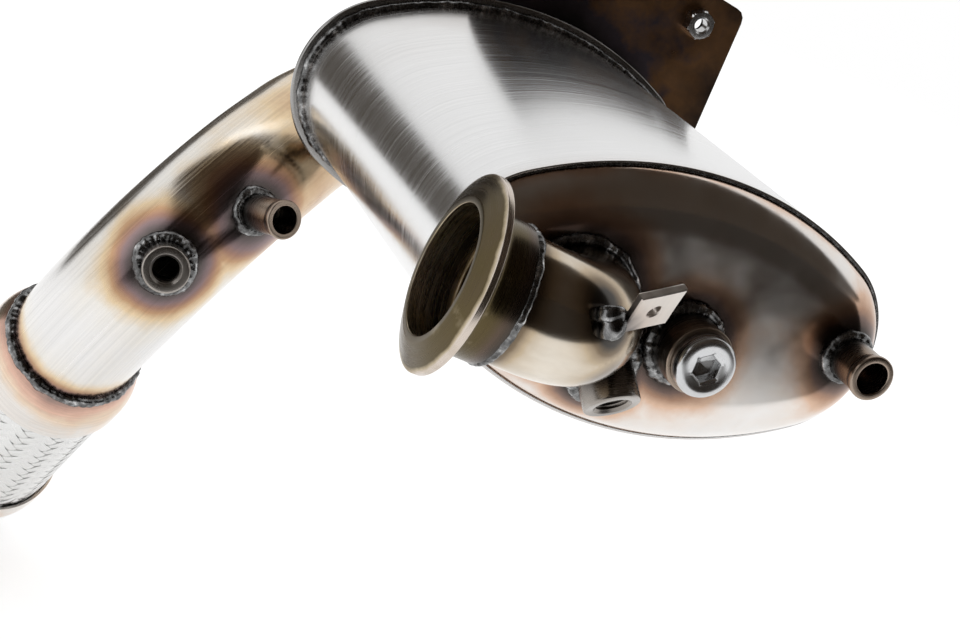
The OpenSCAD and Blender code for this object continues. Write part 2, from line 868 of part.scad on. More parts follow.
canister_shell();
inlet_cap();
inlet_cap_weld();
filter_brick();
filter_mat();
inlet_elbow();
inlet_elbow_weld();
inlet_flange();
inlet_flange_weld();
sensor_boss();
sensor_boss_weld();
blanking_plug();
inlet_temperature_bung();
inlet_temperature_bung_weld();
inlet_pressure_stub();
inlet_pressure_stub_weld();
cable_tab();
cable_tab_weld();
outlet_cap();
outlet_cap_weld();
outlet_pipe();
outlet_pipe_weld();
outlet_temperature_bung();
outlet_temperature_bung_weld();
outlet_pressure_stub();
outlet_pressure_stub_weld();
mounting_bracket();
mounting_bracket_weld();
bracket_nut();
flex_front_weld();
flex_front_sleeve();
flex_braid();
flex_bellows();
flex_liner();
flex_rear_sleeve();
flex_rear_weld();
tail_pipe();
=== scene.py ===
"""Looks of an oval diesel particulate filter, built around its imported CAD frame."""

import math

import bmesh
import bpy
import numpy as np
from mathutils import Matrix, Vector, kdtree, noise


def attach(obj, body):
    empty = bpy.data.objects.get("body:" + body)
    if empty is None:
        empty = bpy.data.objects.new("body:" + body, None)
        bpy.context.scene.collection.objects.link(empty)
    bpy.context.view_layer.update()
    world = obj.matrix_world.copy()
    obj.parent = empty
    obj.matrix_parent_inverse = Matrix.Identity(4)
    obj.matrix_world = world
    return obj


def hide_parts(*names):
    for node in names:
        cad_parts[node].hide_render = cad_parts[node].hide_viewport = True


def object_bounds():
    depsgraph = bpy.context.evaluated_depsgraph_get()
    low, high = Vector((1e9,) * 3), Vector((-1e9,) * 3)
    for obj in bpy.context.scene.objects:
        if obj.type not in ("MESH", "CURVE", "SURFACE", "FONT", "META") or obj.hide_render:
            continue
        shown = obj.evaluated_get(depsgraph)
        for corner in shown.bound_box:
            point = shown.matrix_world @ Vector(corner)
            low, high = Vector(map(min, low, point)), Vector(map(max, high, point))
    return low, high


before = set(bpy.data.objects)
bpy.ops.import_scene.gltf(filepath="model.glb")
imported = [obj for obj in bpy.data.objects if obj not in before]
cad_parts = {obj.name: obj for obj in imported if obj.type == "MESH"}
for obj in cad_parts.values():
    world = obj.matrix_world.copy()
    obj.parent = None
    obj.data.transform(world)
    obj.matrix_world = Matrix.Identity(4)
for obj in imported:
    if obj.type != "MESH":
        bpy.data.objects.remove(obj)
cad_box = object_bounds()

# Driving sizes in millimetres and degrees from the part's source, with radii for its diameters
CAN_W, CAN_H, END_R, CAN_L, SHELL_T = 192, 108, 40, 214, 1.5
CAP_H, CAP_RUN, CAP_T, SKIRT_L, SKIRT_GAP = 14, 20, 1.8, 10, 0.1
LIP_OUT, LIP_T = 5.4, 3
INLET_R, ELBOW_T, ELBOW_IN, INLET_X, INLET_Y = 23.25, 1.5, 6, -46.5, -4
ELBOW_S, ELBOW_R, ELBOW_ANG, INLET_TURN, ELBOW_L = 4.3, 26.8, 95.7, 6.9, 12.1
NECK_R, BORE_R, FLANGE_L = 25.5, 24, 22.5
RIM_R, RIM_T, RIM_SLOPE, CONE_L, MOUTH_T = 36, 2.2, 20, 3.8, 2.4
BOSS_R, BOSS_BORE, BOSS_H, BOSS_X, BOSS_Y = 13.5, 8.2, 16, 4, -8
PLUG_R, PLUG_H, SHANK_L, SOCKET_AF, SOCKET_L = 12, 7, 12, 10, 6
BUNG_R, BUNG_BORE, BUNG_L = 10.85, 6.2, 22
BUNG_AT, BUNG_LEAN = (-21, -34, 28), (40.5, 18.4, 0)
STUB_R, STUB_BORE, STUB_LIP, STUB_H, STUB_X, STUB_Y = 8.5, 6.5, 9.15, 20, 75, 4
TAB_W, TAB_T, TAB_HOLE = 19, 3, 2.75
TAB_AT, TAB_LEAN = (-49.6, 4.6, 61), (31, 14.5, 19.4)
PIPE_R, PIPE_T, PORT_X, PORT_Y, PORT_L = 31.75, 1.5, 12, 1, 4.3
TURN1, BEND1_R, BEND1_ANG, MIDDLE_L = 31, 56, 135.5, 20
TURN2, BEND2_R, BEND2_ANG, END_L = -139.5, 88, 95, 6
OUT_BUNG_AT, OUT_BUNG_TURN, OUT_BUNG_H = 50.4, 167, 16
OUT_STUB_AT, OUT_STUB_TURN, OUT_STUB_H = 27.1, 148, 25
FLEX_L, SLEEVE_L, SLEEVE_R, SLEEVE_T, PIPE_IN, TAIL_L = 150, 28, 39.5, 1.5, 12, 38
BRACKET_X0, BRACKET_X1, BRACKET_Y, BRACKET_Y0 = -33, 105, 91, 22
BRACKET_SLOPE, BRACKET_R, BRACKET_T = 10, 5, 3
NUT_AF, NUT_H, NUT_BORE, NUT_HOLE, NUT_IN, NUT_DOWN = 13, 6.5, 3.325, 4.2, 23.5, 12
MM = 0.001

END_X = CAN_W / 2 - END_R
RISE = CAN_H / 2 - END_R
SIDE_OFF = (END_X**2 - RISE**2) / (2 * RISE)
SIDE_R = CAN_H / 2 + SIDE_OFF
SIDE_SPLIT = math.atan2(END_X, SIDE_OFF)
CAP_ARC = (CAP_RUN**2 + CAP_H**2) / (2 * CAP_H)
OUTLET_Z = -(CAN_L + LIP_T)
CONE_AT, SEAT_AT = PIPE_IN + 1, PIPE_IN + 4

# Fineness of the meshes, as steps in millimetres or as counts
OVAL_STEP, RIM_STEP, BEAD_STEP, ELBOW_STEP, PIPE_STEP, SEEK_STEP = 1.5, 0.8, 0.7, 1.2, 2.0, 0.25
AROUND, PIPE_AROUND, FLANGE_AROUND, BEAD_AROUND, DRILL_SIDES = 96, 128, 160, 14, 48
SHOULDER_ROWS, FACE_ROWS, PLATE_ROWS, BRACKET_COLUMNS, TAB_POINTS = 16, 22, 14, 90, 28


def shift(x, y, z):
    m = np.eye(4)
    m[:3, 3] = (x, y, z)
    return m


def turn(axis, angle):
    return np.array(Matrix.Rotation(math.radians(angle), 4, axis))


def lean(angles):
    return turn("Z", angles[2]) @ turn("Y", angles[1]) @ turn("X", angles[0])


def after_bend(radius, angle):
    """Frame at the end of a bend that starts along z and turns toward x."""
    a = math.radians(angle)
    return shift(radius * (1 - math.cos(a)), 0, radius * math.sin(a)) @ turn("Y", angle)


# Frames of the part, each with z out of the piece it carries. MOUTH is the centre of the inlet's mouth,
# and PLACE takes the can's frame to the part's frame.
ELBOW = shift(INLET_X, INLET_Y, CAP_H - CAP_T) @ turn("Z", 180 - INLET_TURN)
ELBOW_BEND = ELBOW @ shift(0, 0, ELBOW_S)
ELBOW_END = ELBOW_BEND @ after_bend(ELBOW_R, ELBOW_ANG)
FLANGE = ELBOW_END @ shift(0, 0, ELBOW_L)
MOUTH = (FLANGE @ shift(0, 0, FLANGE_L))[:3, 3]
PLACE = turn("X", 90) @ shift(*-MOUTH)
OUTLET = shift(0, 0, OUTLET_Z) @ turn("X", 180)
PORT = OUTLET @ shift(PORT_X, -PORT_Y, CAP_H - CAP_T) @ turn("Z", 180 - TURN1)
BEND1 = PORT @ shift(0, 0, PORT_L)
BEND1_END = BEND1 @ after_bend(BEND1_R, BEND1_ANG)
BEND2 = BEND1_END @ shift(0, 0, MIDDLE_L) @ turn("Z", TURN2)
BEND2_END = BEND2 @ after_bend(BEND2_R, BEND2_ANG)
FLEX = BEND2_END @ shift(0, 0, END_L)
TAIL = FLEX @ shift(0, 0, FLEX_L) @ turn("X", 180)
BUNG = shift(*BUNG_AT) @ lean(BUNG_LEAN)
BOSS = shift(BOSS_X, BOSS_Y, CAP_H)
STUB = shift(STUB_X, STUB_Y, CAP_H + STUB_H)
TAB = shift(*TAB_AT) @ lean(TAB_LEAN)
NUT = shift(BRACKET_X1 - NUT_IN, BRACKET_Y - NUT_DOWN, OUTLET_Z)


def on_bend2(angle, around, height):
    """Frame above the second bend's surface, z out of the pipe."""
    outward = BEND2 @ after_bend(BEND2_R, angle) @ turn("Z", around) @ turn("Y", 90)
    return outward @ shift(0, 0, PIPE_R + height)


OUT_BUNG = on_bend2(OUT_BUNG_AT, OUT_BUNG_TURN, OUT_BUNG_H)
OUT_STUB = on_bend2(OUT_STUB_AT, OUT_STUB_TURN, OUT_STUB_H)


def moved(matrix, points):
    points = np.asarray(points, float)
    return points @ matrix[:3, :3].T + matrix[:3, 3]


def noise_at(points, scale, seed=0.0):
    """Smooth noise from -1 to 1 at points in millimetres."""
    offset = Vector((seed, seed * 0.7, -seed))
    return np.array([noise.noise(Vector(p) * scale + offset) for p in points])


def full_turn(count):
    return np.linspace(0, 2 * math.pi, count, endpoint=False)


def ring_of(radius, count):
    a = full_turn(count)
    return np.stack([radius * np.cos(a), radius * np.sin(a), 0 * a], 1)


# Oval of the can, by the direction its outside faces
def oval_angles(step=OVAL_STEP, fewest=8):
    quarter = math.pi / 2
    side = (-quarter - SIDE_SPLIT, -quarter + SIDE_SPLIT, SIDE_R)
    end = (-quarter + SIDE_SPLIT, quarter - SIDE_SPLIT, END_R)
    arcs = [side, end] + [(a + math.pi, b + math.pi, r) for a, b, r in (side, end)]
    parts = [np.linspace(a, b, max(fewest, int((b - a) * r / step)), endpoint=False) for a, b, r in arcs]
    return np.concatenate(parts)


def oval_points(angles, out):
    up = np.sin(angles)
    side = np.abs(np.cos(angles)) < math.sin(SIDE_SPLIT)
    cx = np.where(side, 0, np.sign(np.cos(angles)) * END_X)
    cy = np.where(side, -np.sign(up) * SIDE_OFF, 0)
    r = np.where(side, SIDE_R, END_R) + out
    return np.stack([cx + r * np.cos(angles), cy + r * up], 1)


def at_height(flat, z):
    return np.column_stack([flat, np.full(len(flat), z)])


def oval_path(out, z, step=RIM_STEP):
    return at_height(oval_points(oval_angles(step), out), z)


def inset_at(points):
    """How far points of the can's cross-section lie inside its outside face."""
    x, y = np.abs(points[:, 0]), np.abs(points[:, 1])
    in_end = (x - END_X) * SIDE_OFF > y * END_X
    end = END_R - np.hypot(x - END_X, y)
    side = SIDE_R - np.hypot(x, y + SIDE_OFF)
    return np.where(in_end, end, side)


def cap_height(points, inset):
    run = np.clip(CAP_RUN - (inset_at(points) - inset), 0, CAP_RUN)
    return CAP_H - CAP_ARC + np.sqrt(CAP_ARC**2 - run**2)


def path_frames(pieces, step=PIPE_STEP):
    """Frames along straight and bent stretches, without twist.

    A piece is (frame, length) or (frame, radius, angle).
    """
    frames, along, total = [], [], 0.0
    for number, piece in enumerate(pieces):
        last = number == len(pieces) - 1
        straight = len(piece) == 2
        start, untwist = piece[0], np.eye(4)
        if frames:
            side = start[:3, :3].T @ frames[-1][:3, 0]
            untwist = turn("Z", math.degrees(math.atan2(side[1], side[0])))
        length = piece[1] if straight else piece[1] * math.radians(piece[2])
        count = max(2, int(length / step))
        for i in range(count + last):
            share = i / count
            local = shift(0, 0, length * share) if straight else after_bend(piece[1], piece[2] * share)
            frames.append(start @ local @ untwist)
            along.append(total + length * share)
        total += length
    return np.array(frames), np.array(along)


ELBOW_PATH = path_frames([
    (ELBOW, ELBOW_S), (ELBOW_BEND, ELBOW_R, ELBOW_ANG), (ELBOW_END, ELBOW_L + ELBOW_IN),
], ELBOW_STEP)
PIPE_PATH = path_frames([
    (PORT, PORT_L), (BEND1, BEND1_R, BEND1_ANG), (BEND1_END, MIDDLE_L),
    (BEND2, BEND2_R, BEND2_ANG), (BEND2_END, END_L + PIPE_IN),
])


def tree_of(points):
    tree = kdtree.KDTree(len(points))
    for i, p in enumerate(points):
        tree.insert(p, i)
    tree.balance()
    return tree


def distance_to(points, tree):
    return np.array([tree.find(p)[2] for p in points])


# Shapes: each is (points in the can's frame, faces, lay), and the metal's grain is laid out in lay
def grid_faces(rows, columns, close_rows=True, close_columns=True):
    faces = []
    for i in range(rows if close_rows else rows - 1):
        a, b = i * columns, (i + 1) % rows * columns
        for j in range(columns if close_columns else columns - 1):
            k = (j + 1) % columns
            faces.append((a + j, a + k, b + k, b + j))
    return faces


def end_faces(rows, columns):
    """Faces that close the two ends of a grid of closed rows."""
    return [tuple(range(columns))[::-1], tuple((rows - 1) * columns + j for j in range(columns))]


def rounded(points, cut, steps=4, most=0.45):
    """Closed outline with a soft curve at each corner."""
    points = np.asarray(points, float)
    cuts = np.broadcast_to(cut, len(points))
    result = []
    for i, p in enumerate(points):
        a, b = points[i - 1] - p, points[(i + 1) % len(points)] - p
        c = min(cuts[i], most * np.linalg.norm(a), most * np.linalg.norm(b))
        q, r = p + a / np.linalg.norm(a) * c, p + b / np.linalg.norm(b) * c
        for u in np.linspace(0, 1, steps + 1):
            result.append((1 - u) ** 2 * q + 2 * u * (1 - u) * p + u * u * r)
    return np.array(result)


def split_long(outline, longest):
    """Adds points on long straight stretches of a closed outline."""
    result = []
    for i, p in enumerate(outline):
        q = outline[(i + 1) % len(outline)]
        count = max(1, int(math.ceil(np.linalg.norm(q - p) / longest)))
        result += [p + (q - p) * k / count for k in range(count)]
    return np.array(result)


def turned(matrix, rows, around=AROUND):
    """Closed rings around z. A row is (radius, height), and the radius may be one for each angle."""
    local = np.concatenate([ring_of(r, around) + (0, 0, z) for r, z in rows])
    return moved(matrix, local), grid_faces(len(rows), around), local


def polygon_radius(sides, flat):
    """Radius at each angle of a regular polygon with that half width across its flats."""
    part = 2 * math.pi / sides
    return flat / np.cos((full_turn(AROUND) + part / 2) % part - part / 2)


def tube(path, r, bore, around=AROUND, edge=0.4):
    frames, along = path
    ring = ring_of(1, around)
    rows = [(f, s, r) for f, s in zip(frames, along)]
    rows[0] = (frames[0], along[0], r - edge)
    rows[-1] = (frames[-1], along[-1], r - edge)
    rows += [(f, s, bore) for f, s in zip(frames[::-1], along[::-1])]
    points = np.concatenate([moved(f, ring * q) for f, s, q in rows])
    lay = np.concatenate([ring * q + (0, 0, s) for f, s, q in rows])
    return points, grid_faces(len(rows), around), lay


def sweep(profile):
    """Carries a closed profile of (out, along z) around the can's oval."""
    rows = [oval_path(out, z, OVAL_STEP) for out, z in profile]
    points = np.concatenate(rows)
    return points, grid_faces(len(rows), len(rows[0])), points


def cap(inset, matrix, skirt, edge=0.02):
    """Pressed cap: a shoulder that curves into its face, with the sheet's inside."""
    sheets = []
    for depth in (0, CAP_T):
        rows = []
        for d in np.linspace(edge, CAP_RUN, SHOULDER_ROWS):
            run = (CAP_RUN - d) / CAP_ARC
            z = CAP_H - CAP_ARC + (CAP_ARC - depth) * math.sqrt(1 - run**2)
            rows.append(oval_path(-inset - d - depth * run, z, OVAL_STEP))
        brim = rows[-1][:, :2]
        spine = np.column_stack([np.clip(brim[:, 0], -END_X, END_X), 0 * brim[:, 0]])
        for t in np.linspace(0, 1, FACE_ROWS)[1:]:
            rows.append(at_height(brim + (spine - brim) * t, CAP_H - depth))
        sheets.append(rows)
    rows = sheets[0][::-1]
    if skirt:
        rows += [oval_path(-inset - d, -skirt, OVAL_STEP) for d in (SKIRT_GAP, CAP_T)]
    rows += sheets[1]
    points = np.concatenate(rows)
    return merged((moved(matrix, points), grid_faces(len(rows), len(rows[0]), False), points))


def plate(inner, outer, z, thick, rows=PLATE_ROWS):
    """Flat sheet between two lines of equally many points."""
    share = np.linspace(0, 1, rows)[:, None, None]
    flat = inner[None] + (outer - inner)[None] * share
    columns = len(inner)
    front = np.concatenate([flat, np.full((rows, columns, 1), z)], 2)
    behind = np.concatenate([flat[::-1], np.full((rows, columns, 1), z - thick)], 2)
    points = np.concatenate([front, behind]).reshape(-1, 3)
    faces = grid_faces(2 * rows, columns, True, False)
    faces.append(tuple(i * columns for i in range(2 * rows))[::-1])
    faces.append(tuple(i * columns + columns - 1 for i in range(2 * rows)))
    return points, faces, points


# Weld beads: their lumps, their ripples, and the side and tips of a bead with two ends
LUMP_H, LUMP_SCALE, GRIT_SCALE, GRIT_SHARE = 0.3, 0.13, 0.4, 0.6
RIPPLE_P, RIPPLE_H, RIPPLE_SLANT, DRIFT, DRIFT_SCALE = 3.2, 0.035, 1.3, 2.5, 0.16
OPEN_SIDE, OPEN_TIP = (0.3, 0.5, 0.8), 0.03


def bead(path, radius, seed, closed):
    """Lumpy weld bead with ripples around a path of points in the can's frame."""
    ahead = np.roll(path, -1, 0) - np.roll(path, 1, 0)
    if not closed:
        ahead[0], ahead[-1] = path[1] - path[0], path[-1] - path[-2]
    ahead /= np.linalg.norm(ahead, axis=1)[:, None]
    along = np.concatenate([[0], np.cumsum(np.linalg.norm(np.diff(path, axis=0), axis=1))])
    side = path - path.mean(0) if closed else np.broadcast_to(OPEN_SIDE, path.shape)
    side = side - (side * ahead).sum(1)[:, None] * ahead
    side /= np.linalg.norm(side, axis=1)[:, None]
    up = np.cross(ahead, side)
    a = full_turn(BEAD_AROUND)
    out = np.cos(a)[None, :, None] * side[:, None] + np.sin(a)[None, :, None] * up[:, None]
    skin = (path[:, None] + radius * out).reshape(-1, 3)
    lumps = noise_at(skin, LUMP_SCALE, seed) + GRIT_SHARE * noise_at(skin, GRIT_SCALE, seed + 5)
    swell = 1 + LUMP_H * lumps.reshape(len(path), BEAD_AROUND)
    if not closed:
        share = np.linspace(-1, 1, len(path))
        swell *= np.sqrt(np.maximum(OPEN_TIP, 1 - share**6))[:, None]
    drift = DRIFT * noise_at(path, DRIFT_SCALE, seed + 9)
    turns = 2 * math.pi * along / RIPPLE_P + drift
    r = radius * (swell + RIPPLE_H * np.cos(turns[:, None] + RIPPLE_SLANT * np.cos(a)[None]))
    points = path[:, None] + r[..., None] * out
    lay = np.stack([r * np.cos(a), r * np.sin(a), np.broadcast_to(along[:, None], r.shape)], 2)
    faces = grid_faces(len(path), BEAD_AROUND, closed)
    if not closed:
        faces += end_faces(len(path), BEAD_AROUND)
    return points.reshape(-1, 3), faces, lay.reshape(-1, 3)


def merged(shape, near=0.001):
    """Joins points of a shape that lie in the same place."""
    points, faces, lay = shape
    work = bmesh.new()
    made = [work.verts.new(p) for p in points]
    for face in faces:
        work.faces.new([made[i] for i in face])
    bmesh.ops.remove_doubles(work, verts=work.verts, dist=near)
    bmesh.ops.dissolve_degenerate(work, edges=work.edges, dist=near / 2)
    bmesh.ops.recalc_face_normals(work, faces=work.faces)
    work.verts.index_update()
    left = np.array([v.co for v in work.verts])
    polygons = [tuple(v.index for v in f.verts) for f in work.faces]
    work.free()
    tree = tree_of(points)
    return left, polygons, lay[[tree.find(p)[1] for p in left]]


def mesh_of(name, points, faces):
    mesh = bpy.data.meshes.new(name)
    mesh.from_pydata(points.tolist(), [], faces)
    return mesh


def linked(name, data):
    """New object in the scene."""
    made = bpy.data.objects.new(name, data)
    bpy.context.scene.collection.objects.link(made)
    return made


def drilled(shape, drills):
    """Cuts round holes through a shape. A drill is (frame, radius, from height, to height)."""
    points, faces, lay = shape
    target = linked("drilled", mesh_of("drilled", points, faces))
    cutters = []
    for matrix, radius, low, high in drills:
        ring = ring_of(radius, DRILL_SIDES)
        ends = np.concatenate([moved(matrix, ring + (0, 0, z)) for z in (low, high)])
        sides = grid_faces(2, DRILL_SIDES, False) + end_faces(2, DRILL_SIDES)
        cutters.append(linked("drill", mesh_of("drill", ends, sides)))
        change = target.modifiers.new("hole", "BOOLEAN")
        change.object, change.operation, change.solver = cutters[-1], "DIFFERENCE", "EXACT"
    cut = target.evaluated_get(bpy.context.evaluated_depsgraph_get()).to_mesh()
    left = np.array([v.co for v in cut.vertices])
    polygons = [tuple(p.vertices) for p in cut.polygons]
    tree = tree_of(points)
    near = [tree.find(p)[1] for p in left]
    for o in cutters + [target]:
        bpy.data.objects.remove(o)
    return left, polygons, lay[near]


def piece(name, shapes, material, node, slot, sharp=None):
    """Puts shapes together as one mesh that stands for a CAD node."""
    points = np.concatenate([s[0] for s in shapes])
    lay = np.concatenate([s[2] for s in shapes])
    starts = np.cumsum([0] + [len(s[0]) for s in shapes])
    faces = [tuple(int(start + k) for k in f) for start, s in zip(starts, shapes) for f in s[1]]
    mesh = mesh_of(name, moved(PLACE, points) * MM, faces)
    grain = mesh.attributes.new("lay", "FLOAT_VECTOR", "POINT").data
    grain.foreach_set("vector", (lay * MM).astype(np.float32).ravel())
    tint = mesh.attributes.new("weld_tint", "FLOAT", "POINT").data
    tint.foreach_set("value", heat_at(points, node).astype(np.float32))
    work = bmesh.new()
    work.from_mesh(mesh)
    bmesh.ops.recalc_face_normals(work, faces=work.faces)
    work.to_mesh(mesh)
    work.free()
    mesh.shade_smooth()
    if sharp:
        mesh.set_sharp_from_angle(angle=math.radians(sharp))
    mesh.materials.append(material)
    made = linked(name, mesh)
    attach(made, "root")
    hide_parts(node)


# Lines of the welds
def ring_path(matrix, radius, height=0.0):
    count = int(2 * math.pi * radius / BEAD_STEP)
    return moved(matrix, ring_of(radius, count) + (0, 0, height))


def seat_path(matrix, radius, seek, outside):
    """Line where a round fitting meets what it stands on.

    It is sought from the fitting's frame down to the depth seek, and outside says how far points lie
    outside what the fitting stands on.
    """
    count = int(2 * math.pi * radius / BEAD_STEP)
    ring = ring_of(radius, count)
    depth, free = np.zeros(count), np.ones(count, bool)
    for d in np.arange(0, seek, SEEK_STEP):
        free &= outside(moved(matrix, ring - (0, 0, d))) > 0
        depth = np.where(free, d, depth)
    return moved(matrix, ring - np.stack([0 * depth, 0 * depth, depth], 1))


ELBOW_LINE = tree_of(ELBOW_PATH[0][:, :3, 3])
PIPE_LINE = tree_of(PIPE_PATH[0][:, :3, 3])


def above_cap(points):
    return points[:, 2] - cap_height(points, SHELL_T)


def above_inlet(points):
    return np.minimum(above_cap(points), distance_to(points, ELBOW_LINE) - INLET_R)


def above_pipe(points):
    return distance_to(points, PIPE_LINE) - PIPE_R


def bracket_line(right=62):
    """Line of the bracket's weld behind the far lip, from the bracket's left end to x = right."""
    line = oval_path(1.0, OUTLET_Z - BRACKET_T - 0.6)
    return line[(line[:, 1] > 0) & (line[:, 0] > BRACKET_X0 + BRACKET_R) & (line[:, 0] < right)]


def tab_line(out=1.2):
    """Line of the tab's weld beside its left edge, laid on the elbow."""
    knots = moved(TAB, [(x, y, -TAB_T) for x, y in ((-2, 14), (-4, 9), (-5, 4), (-3, -1))])
    places = np.linspace(0, len(knots) - 1, TAB_POINTS)
    line = np.stack([np.interp(places, range(len(knots)), knots[:, i]) for i in range(3)], 1)
    feet = np.array([ELBOW_LINE.find(p)[0] for p in line])
    away = line - feet
    return feet + away * ((INLET_R + out) / np.linalg.norm(away, axis=1))[:, None]


# Each weld: line of its bead, bead radius, how far its heat tints the metal around it, and how strongly
WELDS = {
    "inlet_cap_weld": (oval_path(0.2 - SHELL_T, 0.3), 0.4, 4.5, 0.42),
    "outlet_cap_weld": (oval_path(0.8, 0.8 - CAN_L), 1.9, 6, 0.6),
    "inlet_elbow_weld": (seat_path(ELBOW @ shift(0, 0, 30), INLET_R + 1.2, 40, above_cap), 2.4, 9, 1),
    "inlet_flange_weld": (ring_path(FLANGE, INLET_R + 0.9, -0.7), 1.7, 5, 0.9),
    "sensor_boss_weld": (ring_path(BOSS, BOSS_R + 0.6, 0.6), 3.0, 9, 1),
    "inlet_temperature_bung_weld": (seat_path(BUNG, BUNG_R + 0.8, 30, above_inlet), 4.0, 9, 1),
    "inlet_pressure_stub_weld": (seat_path(STUB, STUB_R + 0.6, 30, above_cap), 2.4, 11, 1),
    "cable_tab_weld": (tab_line(), 5.8, 6, 1),
    "outlet_pipe_weld": (ring_path(PORT, PIPE_R + 0.6, CAP_T + 0.4), 2.3, 62, 0.9),
    "outlet_temperature_bung_weld": (seat_path(OUT_BUNG, BUNG_R + 1.0, 24, above_pipe), 3.4, 13, 1),
    "outlet_pressure_stub_weld": (seat_path(OUT_STUB, STUB_R + 0.8, 32, above_pipe), 2.7, 17, 1),
    "mounting_bracket_weld": (bracket_line(), 2.2, 14, 1),
    "flex_front_weld": (ring_path(FLEX, PIPE_R + 0.5, -0.6), 2.8, 9, 0.7),
    "flex_rear_weld": (ring_path(TAIL, PIPE_R + 0.5, -0.6), 2.8, 9, 0.7),
}
OPEN_WELDS = ("cable_tab_weld", "mounting_bracket_weld")
WELD_TREES = {name: tree_of(weld[0]) for name, weld in WELDS.items()}

# Tint of weld metal, mottled up to light grey as painted glints, and of the cap's seam, which is lighter
# below the can's middle as painted light on its lower half
BEAD_TINT, SEAM_TINT, SEAM_FADE, SEAM_PAINTED_LIGHT = 0.45, 0.4, 20, 1.3
# How the edge of a heat tint falls off and wanders
FALLOFF, WANDER, WANDER_SCALE, WANDER_SEED = 1.2, 0.28, 0.035, 3.0
# Dark place of the elbow between the tab and the bung: painted shade, with some scorch from the bung's weld
SHADE_SPOT_AT, SHADE_SPOT_REACH, SHADE_SPOT_PEAK = (-41, -17, 55), 13, 0.85
# Oxide on the flange, which leaves its rim's edge bright, and painted light that makes its bore lighter
OXIDE, BORE_PAINTED_LIGHT, BORE_EDGE, RIM_EDGE, RIM_FADE = 0.3, 0.1, 0.2, 0.25, 0.6


def heat_at(points, node):
    """Heat tint from 0, clean metal, to 1, next to a weld."""
    heat = np.zeros(len(points))
    if node == "inlet_cap_weld":
        # The seam's lower half is painted lighter, as painted light
        return SEAM_TINT + np.clip(-points[:, 1] / SEAM_FADE, 0, SEAM_PAINTED_LIGHT)
    if node.endswith("_weld"):
        return heat + BEAD_TINT
    if node == "flex_braid":
        return heat
    wander = 1 + WANDER * noise_at(points, WANDER_SCALE, WANDER_SEED)
    for name, (_, radius, reach, peak) in WELDS.items():
        away = np.maximum(0, distance_to(points, WELD_TREES[name]) - radius)
        heat = np.maximum(heat, peak * np.exp(-((away / (reach * wander)) ** FALLOFF)))
    if node == "inlet_elbow":
        # Painted shade between the tab and the bung, laid into the heat tint
        away = np.linalg.norm(points - np.array(SHADE_SPOT_AT), axis=1)
        heat = np.maximum(heat, SHADE_SPOT_PEAK * np.exp(-((away / (SHADE_SPOT_REACH * wander)) ** 2)))
    if node == "inlet_flange":
        out = np.linalg.norm((points - FLANGE[:3, 3]) @ FLANGE[:3, :2], axis=1)
        heat = np.maximum(heat, OXIDE * np.clip((RIM_R - RIM_EDGE - out) / RIM_FADE, 0, 1))
        # Painted light: the bore gets a lighter colour than the oxide
        heat = np.where(out < BORE_R + BORE_EDGE, BORE_PAINTED_LIGHT, heat)
    return heat


# Materials
NOISE_LOW, NOISE_HIGH = 0.3, 0.7


def node_of(tree, kind, **values):
    made = tree.nodes.new(kind)
    for key, value in values.items():
        setattr(made, key, value)
    return made


def attribute(tree, name):
    return node_of(tree, "ShaderNodeAttribute", attribute_name=name)


def noise_node(tree, vector, stretch, detail=4.0, rough=0.55):
    mapping = node_of(tree, "ShaderNodeMapping")
    mapping.inputs["Scale"].default_value = stretch
    tree.links.new(vector, mapping.inputs["Vector"])
    made = node_of(tree, "ShaderNodeTexNoise")
    made.inputs["Scale"].default_value = 1.0
    made.inputs["Detail"].default_value = detail
    made.inputs["Roughness"].default_value = rough
    tree.links.new(mapping.outputs[0], made.inputs["Vector"])
    return made.outputs[0]


def span(tree, value, low, high, to_low, to_high):
    """Takes a value from one range to another."""
    made = node_of(tree, "ShaderNodeMapRange")
    for key, number in zip(("From Min", "From Max", "To Min", "To Max"), (low, high, to_low, to_high)):
        made.inputs[key].default_value = number
    tree.links.new(value, made.inputs["Value"])
    return made.outputs[0]


def from_noise(tree, value, to_low, to_high):
    return span(tree, value, NOISE_LOW, NOISE_HIGH, to_low, to_high)


def math_node(tree, operation, a, b):
    made = node_of(tree, "ShaderNodeMath", operation=operation)
    tree.links.new(a, made.inputs[0])
    tree.links.new(b, made.inputs[1])
    return made.outputs[0]


def ramp(tree, value, stops):
    made = node_of(tree, "ShaderNodeValToRGB")
    elements = made.color_ramp.elements
    while len(elements) < len(stops):
        elements.new(1.0)
    for element, (place, colour) in zip(elements, stops):
        element.position = place
        element.color = (*colour, 1)
    tree.links.new(value, made.inputs[0])
    return made.outputs[0]


def new_material(name):
    material = bpy.data.materials.new(name)
    material.use_nodes = True
    return material, material.node_tree, material.node_tree.nodes["Principled BSDF"]


